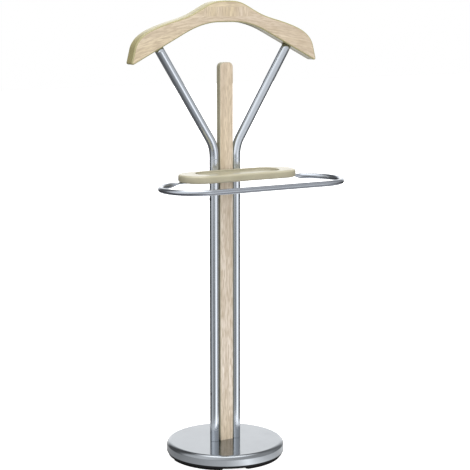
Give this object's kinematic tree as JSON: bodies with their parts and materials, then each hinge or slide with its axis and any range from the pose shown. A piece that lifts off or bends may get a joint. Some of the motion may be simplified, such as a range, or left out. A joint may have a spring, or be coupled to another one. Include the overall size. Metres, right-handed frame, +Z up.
{
  "type": "valet stand",
  "caption": "Free-standing valet stand: round weighted base, twin tubes with a flat wooden post, tray, trouser bar loop and a broad coat hanger on splayed arms.",
  "frame": {"origin": "on the floor, under the middle of the whole stand's outline", "axes": "+Z up, +X across the stand along the hanger, -Y towards the front, where the trouser bar is"},
  "size_m": [0.487, 0.3504, 1.075],
  "materials": {
    "tube_metal": "satin chrome, fine lengthwise brushing",
    "base_metal": "satin chrome, spun, glossy",
    "oak": "matt pale oak with brown grain",
    "cream_lacquer": "smooth pale lacquer with a soft gloss",
    "black_plastic": "fine matt texture",
    "foot_rubber": "matt",
    "screw_steel": "zinc plated",
    "plug_steel": "turned, dull",
    "cast_iron": "rough, black paint"
  },
  "bodies": {
    "root": {"base_cover": "base_metal", "base_weight": "cast_iron", "base_plate": "black_plastic", "plate_screws": "screw_steel", "rubber_feet": "foot_rubber", "tube_bolts": "screw_steel", "bolt_washers": "screw_steel", "post_screw": "screw_steel", "lower_tube_left": "tube_metal", "lower_tube_right": "tube_metal", "foot_plugs": "plug_steel", "post": "oak", "side_screws": "screw_steel", "arm_tube_left": "tube_metal", "arm_tube_right": "tube_metal", "arm_plugs": "plug_steel", "hanger": "oak", "hanger_studs": "screw_steel", "tray": "cream_lacquer", "tray_bolts": "screw_steel", "trouser_bar": "tube_metal", "bar_screws": "screw_steel"}
  },
  "joints": []
}
